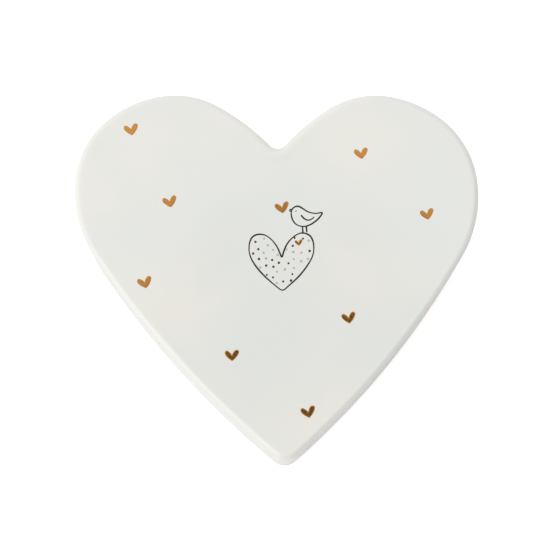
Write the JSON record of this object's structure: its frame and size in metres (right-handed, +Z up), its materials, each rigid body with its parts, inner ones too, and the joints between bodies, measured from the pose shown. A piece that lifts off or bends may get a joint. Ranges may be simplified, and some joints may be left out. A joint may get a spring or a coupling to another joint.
{
  "type": "heart-shaped trinket box",
  "caption": "Heart-shaped ceramic trinket box with a flush lift-off lid, a locating ring under the lid and small gilt hearts around a line drawing.",
  "frame": {"origin": "on the table under the middle of the heart's width and length, at the height of the foot ring", "axes": "+X along the heart's width to the right, +Y from the tip to the lobes, +Z up through the lid"},
  "size_m": [0.12, 0.1094, 0.045],
  "materials": {
    "white_glaze": "smooth glossy transparent glaze over a white body",
    "gold_lustre": "fired gold lustre, mirror bright with fine brush streaks",
    "black_transfer": "fired black transfer print, satin"
  },
  "bodies": {
    "cup": {"cup": "white_glaze"},
    "lid": {"lid": "white_glaze", "gold_heart_top_left": "gold_lustre", "gold_heart_left_lobe": "gold_lustre", "gold_heart_left_flank": "gold_lustre", "gold_heart_lower_left": "gold_lustre", "gold_heart_tip": "gold_lustre", "gold_heart_lower_right": "gold_lustre", "gold_heart_right_edge": "gold_lustre", "gold_heart_right_lobe": "gold_lustre", "gold_heart_in_beak": "gold_lustre", "gold_heart_small": "gold_lustre", "drawn_heart": "black_transfer", "drawn_bird": "black_transfer", "drawn_bird_wing": "black_transfer", "drawn_bird_eye": "black_transfer"}
  },
  "joints": [
    {"name": "lid_lift", "type": "slide", "parent": "cup", "child": "lid", "axis": [0, 0, 1], "range_m": [0, 0.06]}
  ]
}
